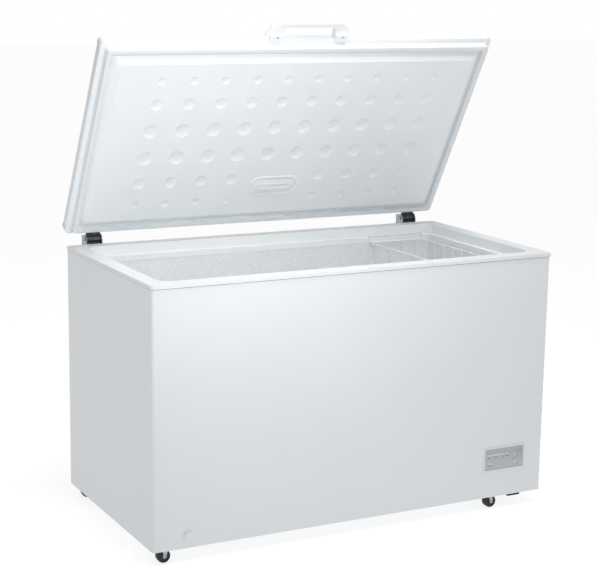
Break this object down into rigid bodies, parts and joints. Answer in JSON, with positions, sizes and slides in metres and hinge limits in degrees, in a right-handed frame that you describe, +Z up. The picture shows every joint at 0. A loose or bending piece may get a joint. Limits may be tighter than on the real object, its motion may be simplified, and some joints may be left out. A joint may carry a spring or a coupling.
{
  "type": "chest freezer",
  "caption": "Chest freezer with a counterbalanced lid standing open, embossed metal tub, hanging wire basket, front control panel, drain and swivel casters.",
  "frame": {"origin": "on the floor under the middle of the cabinet", "axes": "+X to the right end seen from the front, +Y to the back where the hinges are, +Z up"},
  "size_m": [1.285, 0.7138, 1.4514],
  "materials": {
    "white_enamel": "gloss",
    "zinc_sheet": "satin",
    "insulation": "matte",
    "embossed_liner": "satin",
    "white_plastic": "satin",
    "lamp_cover": "satin",
    "gasket": "matte",
    "copper_tube": "satin",
    "flat_tube": "satin",
    "black_enamel": "satin",
    "black_rubber": "matte",
    "black_plastic": "matte",
    "grey_plastic": "matte",
    "circuit_board": "satin",
    "indicator": "gloss",
    "plated_steel": "satin",
    "dark_steel": "satin",
    "wheel": "satin",
    "coated_wire": "gloss"
  },
  "bodies": {
    "cabinet": {"cabinet_wrap": "white_enamel", "back_panel": "zinc_sheet", "base_panel": "zinc_sheet", "cabinet_foam": "insulation", "inner_liner": "embossed_liner", "rim_frame": "white_plastic", "evaporator_tube": "flat_tube", "condenser_tube": "flat_tube", "compressor_shell": "black_enamel", "compressor_mounts": "black_rubber", "compressor_tray": "zinc_sheet", "tray_block": "black_plastic", "relay_box": "black_plastic", "filter_drier": "copper_tube", "suction_line": "copper_tube", "discharge_line": "copper_tube", "liquid_line": "copper_tube", "capillary_tube": "copper_tube", "rear_vent_grille": "black_plastic", "grille_screws": "plated_steel", "cord_gland": "black_rubber", "panel_bezel": "white_plastic", "panel_faceplate": "grey_plastic", "control_board": "circuit_board", "indicator_lenses": "indicator", "drain_pipe": "white_plastic", "caster_plates": "black_enamel", "caster_bolts": "plated_steel", "hinge_bases": "plated_steel", "hinge_pins": "plated_steel", "hinge_springs": "dark_steel", "hinge_plungers": "dark_steel", "hinge_screws": "plated_steel"},
    "lid": {"lid_skin": "white_enamel", "lid_corner_caps": "white_plastic", "lid_foam": "insulation", "lid_liner": "white_plastic", "lid_gasket": "gasket", "lid_handle": "white_plastic", "handle_bracket": "zinc_sheet", "handle_screws": "plated_steel", "lamp_lens": "lamp_cover", "lamp_holder": "white_plastic", "lamp_board": "circuit_board", "hinge_leaves": "dark_steel", "leaf_screws": "plated_steel"},
    "basket": {"basket": "coated_wire"},
    "upper_button": {"button_upper": "grey_plastic"},
    "lower_button": {"button_lower": "grey_plastic"},
    "front_drain_cap": {"drain_cap": "white_plastic"},
    "tub_drain_plug": {"drain_plug": "white_plastic"},
    "fork_fl": {"caster_fork_fl": "plated_steel"},
    "wheel_fl": {"caster_wheel_fl": "wheel"},
    "fork_fr": {"caster_fork_fr": "plated_steel"},
    "wheel_fr": {"caster_wheel_fr": "wheel"},
    "fork_rl": {"caster_fork_rl": "plated_steel"},
    "wheel_rl": {"caster_wheel_rl": "wheel"},
    "fork_rr": {"caster_fork_rr": "plated_steel"},
    "wheel_rr": {"caster_wheel_rr": "wheel"}
  },
  "joints": [
    {"name": "lid_hinge", "type": "hinge", "parent": "cabinet", "child": "lid", "pos_m": [0, 0.351, 0.79], "axis": [1, 0, 0], "range_deg": [-24.5, 60.5]},
    {"name": "basket_slide", "type": "slide", "parent": "cabinet", "child": "basket", "axis": [1, 0, 0], "range_m": [-0.925, 0.005]},
    {"name": "upper_button_press", "type": "slide", "parent": "cabinet", "child": "upper_button", "axis": [0, 0.9763, -0.2164], "range_m": [0, 0.001], "stiffness_N_per_m": 600, "springref_m": -0.0003},
    {"name": "lower_button_press", "type": "slide", "parent": "cabinet", "child": "lower_button", "axis": [0, 0.9763, -0.2164], "range_m": [0, 0.001], "stiffness_N_per_m": 600, "springref_m": -0.0003},
    {"name": "drain_cap_pull", "type": "slide", "parent": "cabinet", "child": "front_drain_cap", "axis": [0, -1, 0], "range_m": [0, 0.06]},
    {"name": "drain_plug_lift", "type": "slide", "parent": "cabinet", "child": "tub_drain_plug", "axis": [0, 0, 1], "range_m": [0, 0.1]},
    {"name": "swivel_fl", "type": "hinge", "parent": "cabinet", "child": "fork_fl", "pos_m": [-0.586, -0.3, 0.04], "axis": [0, 0, 1], "continuous": true},
    {"name": "roll_fl", "type": "hinge", "parent": "fork_fl", "child": "wheel_fl", "pos_m": [-0.598, -0.3, 0.019], "axis": [0, 1, 0], "continuous": true},
    {"name": "swivel_fr", "type": "hinge", "parent": "cabinet", "child": "fork_fr", "pos_m": [0.46, -0.3, 0.04], "axis": [0, 0, 1], "continuous": true},
    {"name": "roll_fr", "type": "hinge", "parent": "fork_fr", "child": "wheel_fr", "pos_m": [0.472, -0.3, 0.019], "axis": [0, 1, 0], "continuous": true},
    {"name": "swivel_rl", "type": "hinge", "parent": "cabinet", "child": "fork_rl", "pos_m": [-0.586, 0.3, 0.04], "axis": [0, 0, 1], "continuous": true},
    {"name": "roll_rl", "type": "hinge", "parent": "fork_rl", "child": "wheel_rl", "pos_m": [-0.598, 0.3, 0.019], "axis": [0, 1, 0], "continuous": true},
    {"name": "swivel_rr", "type": "hinge", "parent": "cabinet", "child": "fork_rr", "pos_m": [0.46, 0.3, 0.04], "axis": [0, 0, 1], "continuous": true},
    {"name": "roll_rr", "type": "hinge", "parent": "fork_rr", "child": "wheel_rr", "pos_m": [0.472, 0.3, 0.019], "axis": [0, 1, 0], "continuous": true}
  ]
}
